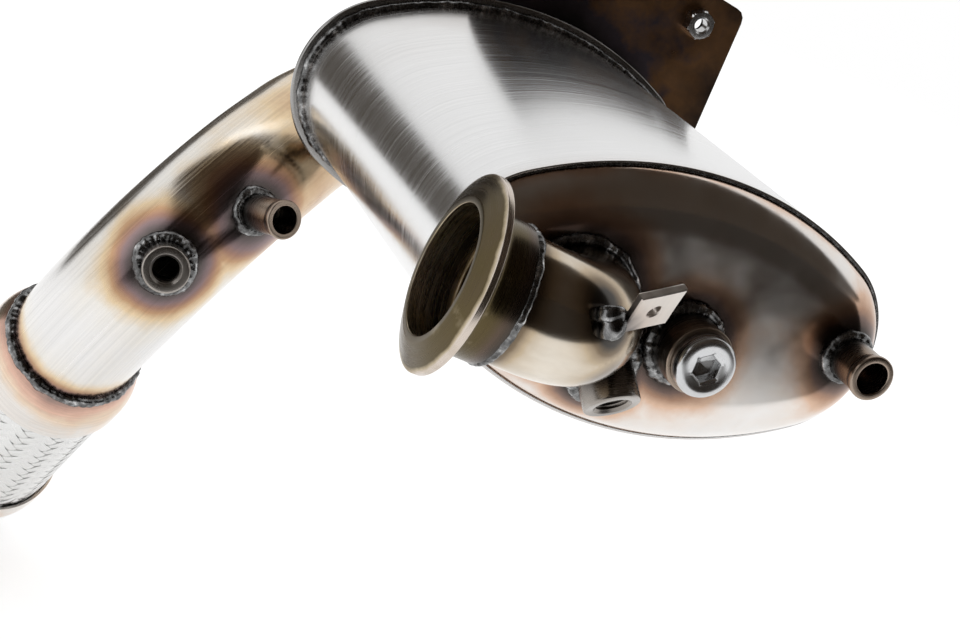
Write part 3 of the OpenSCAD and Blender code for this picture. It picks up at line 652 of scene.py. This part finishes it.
def metal(
    name, stops, grain, rough=(0.18, 0.34), bump=0.15, mottle=0.2, blotch=45, streak=0.16, depth=0.02
):
    """Steel with brush grain along one way of its lay, blotches and a heat tint."""
    material, tree, shader = new_material(name)
    shader.inputs["Metallic"].default_value = 1.0
    lay = attribute(tree, "lay").outputs["Vector"]
    heat = attribute(tree, "weld_tint").outputs["Fac"]
    lines = noise_node(tree, lay, grain)
    spots = noise_node(tree, lay, (blotch,) * 3, 5.0, 0.6)
    shifted = math_node(tree, "ADD", heat, from_noise(tree, spots, -mottle / 2, mottle / 2))
    mix = node_of(tree, "ShaderNodeMix", data_type="RGBA", blend_type="MULTIPLY")
    mix.inputs[0].default_value = 1.0
    tree.links.new(ramp(tree, shifted, stops), mix.inputs[6])
    tree.links.new(from_noise(tree, lines, 1 - streak, 1.0), mix.inputs[7])
    tree.links.new(mix.outputs[2], shader.inputs["Base Color"])
    tree.links.new(from_noise(tree, lines, rough[0], rough[1]), shader.inputs["Roughness"])
    bumped = node_of(tree, "ShaderNodeBump")
    bumped.inputs["Strength"].default_value = bump
    bumped.inputs["Distance"].default_value = depth * MM
    tree.links.new(lines, bumped.inputs["Height"])
    tree.links.new(bumped.outputs[0], shader.inputs["Normal"])
    return material


def plain(name, colour, rough, grain, shade=0.75, low=0.35, high=0.65):
    """Matt material with a fine speckle, for the hidden pieces."""
    material, tree, shader = new_material(name)
    shader.inputs["Roughness"].default_value = rough
    place = node_of(tree, "ShaderNodeTexCoord").outputs["Object"]
    speck = noise_node(tree, place, (grain,) * 3)
    dark = tuple(c * shade for c in colour)
    tree.links.new(ramp(tree, speck, [(low, dark), (high, colour)]), shader.inputs["Base Color"])
    return material


# Colours of each metal from clean, at 0, to next to a weld, at 1
STEEL_TINT = [
    (0.0, (0.80, 0.79, 0.78)), (0.12, (0.80, 0.77, 0.72)), (0.27, (0.74, 0.58, 0.38)),
    (0.42, (0.50, 0.31, 0.18)), (0.56, (0.34, 0.20, 0.15)), (0.7, (0.24, 0.17, 0.17)),
    (0.85, (0.15, 0.12, 0.12)), (1.0, (0.09, 0.08, 0.075)),
]
SHELL_TINT = [
    (0.0, (0.80, 0.80, 0.80)), (0.3, (0.74, 0.73, 0.72)),
    (0.6, (0.5, 0.45, 0.42)), (1.0, (0.2, 0.18, 0.17)),
]
SLEEVE_TINT = [
    (0.0, (0.78, 0.74, 0.70)), (0.25, (0.78, 0.62, 0.48)), (0.45, (0.70, 0.46, 0.36)),
    (0.65, (0.50, 0.32, 0.26)), (0.85, (0.26, 0.20, 0.18)), (1.0, (0.12, 0.11, 0.10)),
]
CAP_TINT = [
    (0.0, (0.77, 0.75, 0.73)), (0.15, (0.76, 0.70, 0.65)), (0.35, (0.66, 0.46, 0.34)),
    (0.55, (0.42, 0.26, 0.18)), (0.75, (0.20, 0.14, 0.12)), (1.0, (0.07, 0.06, 0.055)),
]
ELBOW_TINT = [
    (0.0, (0.74, 0.68, 0.59)), (0.3, (0.50, 0.40, 0.28)),
    (0.6, (0.20, 0.15, 0.10)), (1.0, (0.06, 0.055, 0.05)),
]
FLANGE_TINT = [
    (0.0, (0.66, 0.58, 0.51)), (0.12, (0.46, 0.38, 0.26)), (0.25, (0.105, 0.08, 0.038)),
    (0.6, (0.11, 0.08, 0.06)), (1.0, (0.06, 0.055, 0.05)),
]
# Weld metal: its own dark mottled tone, and a light end that the wide mottle scatters as painted glints
WELD_TONE_AND_GLINTS = [
    (0.0, (0.06, 0.058, 0.056)), (0.5, (0.17, 0.17, 0.17)),
    (0.8, (0.34, 0.34, 0.34)), (1.0, (0.62, 0.62, 0.62)),
]
FITTING_TINT = [
    (0.0, (0.42, 0.34, 0.28)), (0.4, (0.28, 0.22, 0.17)),
    (0.7, (0.16, 0.13, 0.11)), (1.0, (0.07, 0.065, 0.06)),
]
BRIGHT_TINT = [(0.0, (0.68, 0.69, 0.70)), (0.5, (0.46, 0.45, 0.44)), (1.0, (0.2, 0.19, 0.18))]
BUNG_TINT = [(0.0, (0.60, 0.58, 0.56)), (0.4, (0.34, 0.31, 0.28)), (1.0, (0.10, 0.09, 0.085))]
TAB_TINT = [(0.0, (0.72, 0.67, 0.62)), (0.5, (0.58, 0.50, 0.44)), (1.0, (0.16, 0.14, 0.13))]
LIP_TINT = [(0.0, (0.42, 0.42, 0.42)), (0.6, (0.30, 0.29, 0.28)), (1.0, (0.14, 0.13, 0.12))]
BRAID_TINT = [(0.0, (0.80, 0.80, 0.79)), (1.0, (0.6, 0.6, 0.6))]
BRACKET_TINT = [
    (0.0, (0.055, 0.042, 0.038)), (0.22, (0.12, 0.07, 0.042)), (0.4, (0.20, 0.105, 0.05)),
    (0.6, (0.07, 0.055, 0.065)), (1.0, (0.03, 0.028, 0.027)),
]

# Grain as cells per metre along each way of the lay
PRESSED, LATHE = (60, 60, 60), (20, 20, 1600)
shell_steel = metal("brushed_shell", SHELL_TINT, (5, 5, 1100), (0.16, 0.28), mottle=0.06, streak=0.12)
pipe_steel = metal("brushed_pipe", STEEL_TINT, (900, 900, 7), (0.14, 0.28), mottle=0.16, blotch=30)
cap_steel = metal("cap_oxide", CAP_TINT, PRESSED, (0.12, 0.20), streak=0.08, bump=0.03)
outlet_steel = metal("outlet_cap_steel", LIP_TINT, PRESSED, (0.2, 0.3), streak=0.08, bump=0.03)
elbow_steel = metal("elbow_oxide", ELBOW_TINT, (120, 120, 60), (0.12, 0.22), streak=0.12, bump=0.04)
flange_steel = metal("flange_steel", FLANGE_TINT, (20, 20, 1400), (0.2, 0.34), bump=0.06)
fitting_steel = metal("fitting_steel", FITTING_TINT, LATHE, (0.2, 0.36))
boss_steel = metal("boss_steel", FITTING_TINT, LATHE, (0.22, 0.38))
bung_steel = metal("bung_steel", BUNG_TINT, LATHE, (0.2, 0.34))
tab_steel = metal("tab_steel", TAB_TINT, (300, 20, 20), (0.3, 0.45))
sleeve_steel = metal("sleeve_steel", SLEEVE_TINT, (30, 30, 900), (0.16, 0.28), mottle=0.4, blotch=25)
# The wide mottle spreads the beads' colour into painted glints of light grey
weld_metal = metal(
    "weld_metal", WELD_TONE_AND_GLINTS, (500, 500, 700), (0.16, 0.36), bump=0.5, mottle=1.2, blotch=260, depth=0.25
)
plug_steel = metal("zinc_plate", BRIGHT_TINT, (20, 20, 1500))
nut_steel = metal("nut_steel", BRIGHT_TINT, PRESSED)
braid_steel = metal("braid_wire", BRAID_TINT, (2600, 12, 30), bump=0.5, depth=0.08)
bracket_steel = metal("bracket_steel", BRACKET_TINT, (40, 40, 40), (0.25, 0.42), mottle=0.5, blotch=30)
brick_ceramic = plain("filter_ceramic", (0.45, 0.44, 0.42), 0.9, 700)
mat_fibre = plain("mat_fibre", (0.86, 0.84, 0.78), 0.95, 500)

# Can and caps, whose holes are a little tighter than the tubes in them
HOLE_FIT, HOLE_REACH = 0.2, 6
shell_outline = [(0, 0), (0, -CAN_L), (-SHELL_T, -CAN_L), (-SHELL_T, 0)]
shell_shape = sweep(split_long(rounded(shell_outline, 0.3), 4))
piece("shell_skin", [shell_shape], shell_steel, "canister_shell", "brushed_stainless")
inlet_hole = (ELBOW, INLET_R - HOLE_FIT, -HOLE_REACH, HOLE_REACH)
inlet_cap_shape = drilled(cap(SHELL_T, np.eye(4), SKIRT_L), [inlet_hole])
piece("inlet_cap_skin", [inlet_cap_shape], cap_steel, "inlet_cap", "oxidised_stainless")
lip_outline = [(LIP_OUT, OUTLET_Z), (LIP_OUT, -CAN_L), (-SHELL_T, -CAN_L), (-SHELL_T, OUTLET_Z)]
lip_shape = sweep(rounded(lip_outline, (1.4, 1.4, 0.1, 0.1))[::-1])
outlet_hole = (PORT, PIPE_R - HOLE_FIT, -HOLE_REACH, HOLE_REACH)
outlet_cap_shape = drilled(cap(0, OUTLET, 0), [outlet_hole])
piece("outlet_cap_skin", [outlet_cap_shape, lip_shape], outlet_steel, "outlet_cap", "oxidised_stainless")

# Drills below the fittings: their radius and the height they go down to, in the fitting's frame
BUNG_DRILL, STUB_DRILL, BUNG_DRILL_TOP = (BUNG_BORE + 2, -40), (STUB_BORE + 1, -45), 5

# Inlet
elbow_shape = drilled(tube(ELBOW_PATH, INLET_R, INLET_R - ELBOW_T), [(BUNG, *BUNG_DRILL, BUNG_DRILL_TOP)])
piece("inlet_elbow_skin", [elbow_shape], elbow_steel, "inlet_elbow", "oxidised_stainless", 50)
rim_front = FLANGE_L - CONE_L
rim_back = rim_front - RIM_T
neck = rim_back - (RIM_R - NECK_R) * math.tan(math.radians(RIM_SLOPE))
flange_outline = rounded([
    (INLET_R, 0), (NECK_R, 0), (NECK_R, neck), (RIM_R, rim_back), (RIM_R, rim_front),
    (BORE_R + MOUTH_T, FLANGE_L), (BORE_R, FLANGE_L), (BORE_R, ELBOW_IN), (INLET_R, ELBOW_IN),
], (0.1, 0.6, 2.5, 0.3, 0.3, 0.4, 0.4, 0.1, 0.1))
flange_shape = turned(FLANGE, split_long(flange_outline, 2.5), FLANGE_AROUND)
piece("inlet_flange_skin", [flange_shape], flange_steel, "inlet_flange", "oxidised_stainless")
TAB_EDGE, TAB_HOLE_EDGE = 0.5, 0.4
tab_square = polygon_radius(4, TAB_W / 2)
tab_rows = [
    (tab_square - TAB_EDGE, -TAB_T), (tab_square, TAB_EDGE - TAB_T),
    (tab_square, -TAB_EDGE), (tab_square - TAB_EDGE, 0),
    (TAB_HOLE + TAB_HOLE_EDGE, 0), (TAB_HOLE, -TAB_HOLE_EDGE),
    (TAB_HOLE, TAB_HOLE_EDGE - TAB_T), (TAB_HOLE + TAB_HOLE_EDGE, -TAB_T),
]
tab_shape = turned(TAB @ shift(TAB_W / 2, TAB_W / 2, 0), tab_rows)
piece("cable_tab_skin", [tab_shape], tab_steel, "cable_tab", "bright_fitting", 30)

# Fittings: the rolled lip of the stubs, the thread and its mouth in the bungs
LIP_START, LIP_FULL = -4.2, -2.2
THREAD_P, THREAD_D, THREAD_AT, THREAD_MOUTH = 0.75, 0.7, -1.2, 1.0


def stub_rows(length):
    return split_long(rounded([
        (STUB_BORE, -length), (STUB_R, -length), (STUB_R, LIP_START),
        (STUB_LIP, LIP_FULL), (STUB_LIP, 0), (STUB_BORE, 0),
    ], (0.2, 0.2, 1.2, 0.9, 0.9, 0.6)), 2)


def bung_rows(length):
    count = int((length - 2) / THREAD_P) + 1
    thread = [(BUNG_BORE + THREAD_D * (i % 2), THREAD_AT - THREAD_P * i) for i in range(count)]
    mouth = BUNG_BORE + THREAD_MOUTH
    body = rounded([(BUNG_R, -length), (BUNG_R, 0), (mouth, 0)], (0.3, 1.0, 0.3))
    return np.concatenate([split_long(body, 2)[:-1], [(mouth, -0.1)], thread, [(BUNG_BORE, -length)]])


boss_outline = rounded([(BOSS_BORE, 0), (BOSS_R, 0), (BOSS_R, BOSS_H), (BOSS_BORE, BOSS_H)], 0.9)
boss_shape = turned(BOSS, split_long(boss_outline, 2))
piece("sensor_boss_skin", [boss_shape], boss_steel, "sensor_boss", "oxidised_stainless")
# Plug: radius of the rings at its axis, radius of the dish in its face, and its smallest edge
AXIS, PLUG_DISH, PLUG_EDGE = 0.2, 8.0, 0.3
socket = polygon_radius(6, SOCKET_AF / 2)
dish_z, socket_z = PLUG_H - PLUG_EDGE, PLUG_H - SOCKET_L
plug_rows = [
    (AXIS, -SHANK_L), (BOSS_BORE - 0.6, -SHANK_L), (BOSS_BORE, 0.6 - SHANK_L), (BOSS_BORE, 0.1),
    (PLUG_R - 1.1, 0.1), (PLUG_R - 0.2, 0.5), (PLUG_R, 1.0), (PLUG_R, PLUG_H - 1.8),
    (PLUG_R - PLUG_EDGE, PLUG_H - 1.1), (PLUG_R - 1.1, PLUG_H - PLUG_EDGE), (PLUG_R - 1.9, PLUG_H),
    (PLUG_DISH, PLUG_H), (PLUG_DISH - 0.4, dish_z), (socket + 0.9, dish_z), (socket, PLUG_H - 1.0),
    (socket, socket_z), (socket * 0.4, socket_z - 0.8), (AXIS, socket_z - 1.0),
]
plug_shape = turned(BOSS @ shift(0, 0, BOSS_H), plug_rows)
piece("blanking_plug_skin", [plug_shape], plug_steel, "blanking_plug", "zinc_plated", 40)
inlet_bung_shape = turned(BUNG, bung_rows(BUNG_L))
piece("inlet_bung_skin", [inlet_bung_shape], bung_steel, "inlet_temperature_bung", "bright_fitting", 40)
inlet_stub_shape = turned(STUB, stub_rows(STUB_H + CAP_T))
piece("inlet_stub_skin", [inlet_stub_shape], fitting_steel, "inlet_pressure_stub", "bright_fitting")
outlet_bung_shape = turned(OUT_BUNG, bung_rows(OUT_BUNG_H + 2 * PIPE_T))
piece("outlet_bung_skin", [outlet_bung_shape], bung_steel, "outlet_temperature_bung", "bright_fitting", 40)
outlet_stub_shape = turned(OUT_STUB, stub_rows(OUT_STUB_H + 2 * PIPE_T))
piece("outlet_stub_skin", [outlet_stub_shape], fitting_steel, "outlet_pressure_stub", "bright_fitting")


# Bracket and its nut
def bracket_lines():
    """Line of the bracket on the can and its line outside, from the right end to the left end."""
    first_angle = math.degrees(math.asin(BRACKET_Y0 / END_R))
    last_angle = 90 + math.degrees(math.asin(-BRACKET_X0 / SIDE_R))
    inner = oval_points(np.radians(np.linspace(first_angle, last_angle, BRACKET_COLUMNS)), 0)
    left_top = BRACKET_Y + math.tan(math.radians(BRACKET_SLOPE)) * (BRACKET_X1 - BRACKET_X0)
    corners = np.array([
        (BRACKET_X1, inner[0][1]), (BRACKET_X1, BRACKET_Y),
        (BRACKET_X0, left_top), (BRACKET_X0, inner[-1][1]),
    ])
    corner_cut = 1.1 * BRACKET_R
    outline = split_long(rounded(corners, (0.1, corner_cut, corner_cut, 0.1), 10), 2)
    first, last = [np.argmin(np.hypot(*(outline - corners[i]).T)) for i in (0, 3)]
    outline = np.roll(outline, -first, 0)[: (last - first) % len(outline) + 1]
    along = np.concatenate([[0], np.cumsum(np.hypot(*np.diff(outline, axis=0).T))])
    places = np.linspace(0, along[-1], BRACKET_COLUMNS)
    return inner, np.stack([np.interp(places, along, outline[:, i]) for i in (0, 1)], 1)


nut_drill = (NUT, NUT_HOLE, -HOLE_REACH, HOLE_REACH)
bracket_shape = drilled(plate(*bracket_lines(), OUTLET_Z, BRACKET_T), [nut_drill])
piece("bracket_skin", [bracket_shape], bracket_steel, "mounting_bracket", "tinted_bracket", 30)
hexagon = polygon_radius(6, NUT_AF / 2)
# Radii to which the nut's corners are turned off, toward its face
NUT_CORNER, NUT_SHOULDER, NUT_FACE = 7.5, 6.6, 5.6
nut_rows = [
    (NUT_BORE + 0.6, 0), (hexagon, 0), (np.minimum(hexagon, NUT_CORNER), NUT_H - 0.9),
    (np.minimum(hexagon, NUT_SHOULDER), NUT_H - 0.1), (NUT_FACE, NUT_H), (NUT_BORE + 0.9, NUT_H),
    (NUT_BORE, NUT_H - 0.8), (NUT_BORE, 0.5),
]
piece("bracket_nut_skin", [turned(NUT, nut_rows)], nut_steel, "bracket_nut", "bright_fitting", 25)

# Outlet pipe and coupling
pipe_shape = drilled(
    tube(PIPE_PATH, PIPE_R, PIPE_R - PIPE_T, PIPE_AROUND),
    [(OUT_BUNG, *BUNG_DRILL, 0), (OUT_STUB, *STUB_DRILL, 0)],
)
piece("outlet_pipe_skin", [pipe_shape], pipe_steel, "outlet_pipe", "brushed_stainless", 50)
sleeve_rows = split_long(rounded([
    (PIPE_R, 0), (PIPE_R + 1.2 * SLEEVE_T, 0), (SLEEVE_R, CONE_AT), (SLEEVE_R, SLEEVE_L),
    (SLEEVE_R - SLEEVE_T, SLEEVE_L), (SLEEVE_R - SLEEVE_T, SEAT_AT), (PIPE_R, SEAT_AT),
], (0.3, 0.6, 7, 0.6, 0.4, 0.1, 0.1), 8), 2)
for name, matrix in (("flex_front_sleeve", FLEX), ("flex_rear_sleeve", TAIL)):
    piece(name + "_skin", [turned(matrix, sleeve_rows, PIPE_AROUND)], sleeve_steel, name, "tinted_sleeve")
tail_rows = split_long(rounded([
    (PIPE_R, -PIPE_IN), (PIPE_R, TAIL_L), (PIPE_R - PIPE_T, TAIL_L), (PIPE_R - PIPE_T, -PIPE_IN),
], 0.5), 3)
tail_shape = turned(FLEX @ shift(0, 0, FLEX_L), tail_rows, PIPE_AROUND)
piece("tail_pipe_skin", [tail_shape], pipe_steel, "tail_pipe", "brushed_stainless")

# Braid: two families of flat ribbons that pass over and under each other, with RIBBON_LAY between their lays
RIBBONS, RIBBON_FILL, RIBBON_T, RIBBON_CROWN, RIBBON_LAY = 30, 0.95, 0.45, 0.22, 7.0
WEAVE_H, WEAVE_FLAT, BRAID_R = 0.5, 1.42, 36.7
BRAID_L = FLEX_L - 2 * SEAT_AT
TWIST = BRAID_L / BRAID_R


def over_under(count):
    return np.clip(WEAVE_FLAT * np.cos(math.pi / 2 * count - math.pi / 4), -1, 1)


def ribbon(family, number, steps=84, across=7):
    """One ribbon of the braid, a thin strip with a crowned face."""
    z = np.linspace(0, BRAID_L, steps)
    lane = np.linspace(-0.5, 0.5, across) * RIBBON_FILL
    pitch = 2 * math.pi / RIBBONS
    spin = family * TWIST * z / BRAID_L
    angle = (number + lane[None]) * pitch + spin[:, None]
    crossing = (angle + spin[:, None]) / pitch + number
    crown = RIBBON_CROWN * np.cos(math.pi * lane / RIBBON_FILL)
    height = family * WEAVE_H * over_under(crossing) + crown[None]
    rows = []
    for k, sheet in ((range(across), 0), (range(across - 1, -1, -1), -RIBBON_T)):
        for j in k:
            r = BRAID_R + height[:, j] + sheet
            rows.append(np.stack([r * np.cos(angle[:, j]), r * np.sin(angle[:, j]), SEAT_AT + z], 1))
    points = np.stack(rows, 1).reshape(-1, 3)
    lanes = np.concatenate([lane, lane[::-1]]) * pitch * BRAID_R
    lay = np.stack(np.broadcast_arrays(lanes[None], z[:, None], number * RIBBON_LAY), 2).reshape(-1, 3)
    columns = 2 * across
    return moved(FLEX, points), grid_faces(steps, columns, False) + end_faces(steps, columns), lay


weave = [ribbon(family, number) for family in (1, -1) for number in range(RIBBONS)]
piece("flex_braid_skin", weave, braid_steel, "flex_braid", "braid_wire", 40)

# Welds
BEAD_SEED = 7.3
for number, (name, (line, radius, *_)) in enumerate(WELDS.items()):
    bead_shape = bead(line, radius, BEAD_SEED * number, name not in OPEN_WELDS)
    piece(name + "_bead", [bead_shape], weld_metal, name, "weld_metal")

# Finish of the inner nodes, which keep their CAD shape
INNER_FINISH = {
    "flex_bellows": nut_steel, "flex_liner": nut_steel,
    "filter_brick": brick_ceramic, "filter_mat": mat_fibre,
}
for name, material in INNER_FINISH.items():
    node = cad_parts[name]
    node.data.materials.clear()
    node.data.materials.append(material)

# Camera at the photograph's angle, its place given from the middle of the can's inlet end
RIGHT, UP, AHEAD = (0.879, -0.304, 0.367), (-0.228, 0.409, 0.884), (0.419, 0.860, -0.290)
EYE = np.array((-345.5, -564.9, 166.9)) + (-MOUTH[0], MOUTH[2], -MOUTH[1])
SENSOR, LENS = 36, 67.5
camera = linked("camera", bpy.data.cameras.new("camera"))
camera.data.sensor_width = SENSOR
camera.data.lens = LENS
pose = Matrix.Identity(4)
for i in range(3):
    pose[i][0], pose[i][1], pose[i][2], pose[i][3] = RIGHT[i], UP[i], -AHEAD[i], EYE[i] * MM
camera.matrix_world = pose
bpy.context.scene.camera = camera


# White studio: a white world, a pale floor, and dark cards that only reflections see
def seen_rays(tree):
    """1 for rays that show what they meet: from the camera, mirrored or let through."""
    rays = node_of(tree, "ShaderNodeLightPath").outputs
    bent = math_node(tree, "MAXIMUM", rays["Is Glossy Ray"], rays["Is Transmission Ray"])
    return math_node(tree, "MAXIMUM", rays["Is Camera Ray"], bent)


SKY_FILL, FLOOR_GLOW, FLOOR_COLOUR = 0.75, 0.5, (0.8, 0.8, 0.8)
world = bpy.data.worlds.new("studio")
bpy.context.scene.world = world
world.use_nodes = True
sky = world.node_tree.nodes["Background"]
sky.inputs["Color"].default_value = (1, 1, 1, 1)
sky_strength = span(world.node_tree, seen_rays(world.node_tree), 0, 1, SKY_FILL, 1.0)
world.node_tree.links.new(sky_strength, sky.inputs["Strength"])


def panel(name, corners, colour):
    mesh = bpy.data.meshes.new(name)
    mesh.from_pydata(corners, [], [(0, 1, 2, 3)])
    material, _, shader = new_material(name)
    shader.inputs["Base Color"].default_value = (*colour, 1)
    shader.inputs["Roughness"].default_value = 1.0
    mesh.materials.append(material)
    made = linked(name, mesh)
    return made


ground = cad_box[0][2]
floor = panel("floor", [(-3, -3, ground), (3, -3, ground), (3, 4, ground), (-3, 4, ground)], FLOOR_COLOUR)
tree = floor.data.materials[0].node_tree
glow = node_of(tree, "ShaderNodeEmission")
both = node_of(tree, "ShaderNodeAddShader")
tree.links.new(span(tree, seen_rays(tree), 0, 1, 0.0, FLOOR_GLOW), glow.inputs["Strength"])
tree.links.new(glow.outputs[0], both.inputs[0])
tree.links.new(tree.nodes["Principled BSDF"].outputs[0], both.inputs[1])
tree.links.new(both.outputs[0], tree.nodes["Material Output"].inputs[0])


def dark_card(name, left, right, low, high, colour):
    """Dark sheet between two lines, each given as (y, z) at its left and at its right end."""
    corners = [(left, *low[0]), (right, *low[1]), (right, *high[1]), (left, *high[0])]
    card = panel(name, corners, colour)
    card.visible_camera = card.visible_diffuse = card.visible_shadow = False


FRONT_Y, TOP_Z, BACK_Y = -0.95, 0.42, 1.9
dark_card("front_card", -1.2, 2.4, [(FRONT_Y, ground)] * 2, [(FRONT_Y, 8)] * 2, (0.032, 0.024, 0.018))
dark_card("top_card", -0.6, 1.2, [(-0.6, TOP_Z)] * 2, [(0.58, TOP_Z), (-0.2, TOP_Z)], (0.06, 0.042, 0.028))
dark_card("back_card", -1.6, 0.3, [(BACK_Y, ground)] * 2, [(BACK_Y, 0.4)] * 2, (0.10, 0.085, 0.07))


def soft_light(name, place, aim, size, power):
    made = linked(name, bpy.data.lights.new(name, "AREA"))
    made.data.size, made.data.energy = size, power
    made.location = place
    made.rotation_euler = (Vector(aim) - Vector(place)).to_track_quat("-Z", "Y").to_euler()


soft_light("top_light", (-0.4, 0.3, 1.5), (0.1, 0.1, 0), 1.2, 3)
soft_light("left_light", (-1.4, -0.2, 0.5), (0.05, 0.1, 0), 0.8, 1.2)

bpy.context.scene.view_settings.view_transform = "Standard"
